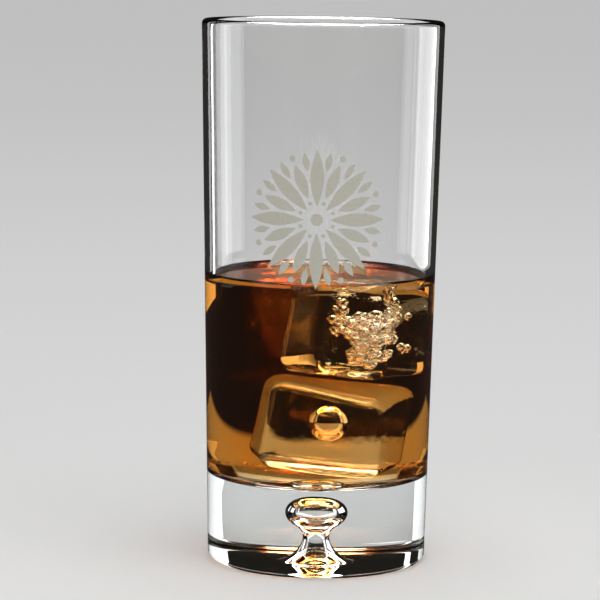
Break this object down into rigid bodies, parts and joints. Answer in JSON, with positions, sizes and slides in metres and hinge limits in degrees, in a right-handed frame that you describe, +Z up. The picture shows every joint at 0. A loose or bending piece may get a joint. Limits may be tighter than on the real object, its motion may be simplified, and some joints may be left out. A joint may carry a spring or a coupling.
{
  "type": "highball glass",
  "caption": "Tall straight-sided glass tumbler with an air bubble in its heavy base, holding a drink and stacked ice cubes that lift out.",
  "frame": {"origin": "centre of the underside of the foot, on the surface that the glass stands on", "axes": "+Z up along the axis of the glass, -Y towards the viewer, +X to the viewer's right"},
  "size_m": [0.0686, 0.0686, 0.154],
  "materials": {
    "clear_glass": "fire-polished",
    "amber_drink": "clear liquid",
    "ice": "clear, wet"
  },
  "bodies": {
    "glass": {"tumbler": "clear_glass", "whisky": "amber_drink"},
    "lower_ice": {"lower_ice_cube": "ice"},
    "upper_ice": {"upper_ice_cube": "ice"}
  },
  "joints": [
    {"name": "lower_ice_lift", "type": "slide", "parent": "glass", "child": "lower_ice", "axis": [0, 0, 1], "range_m": [0, 0.133], "deforming": ["whisky"]},
    {"name": "upper_ice_lift", "type": "slide", "parent": "lower_ice", "child": "upper_ice", "axis": [0, 0, 1], "range_m": [0, 0.104], "deforming": ["whisky"]}
  ]
}
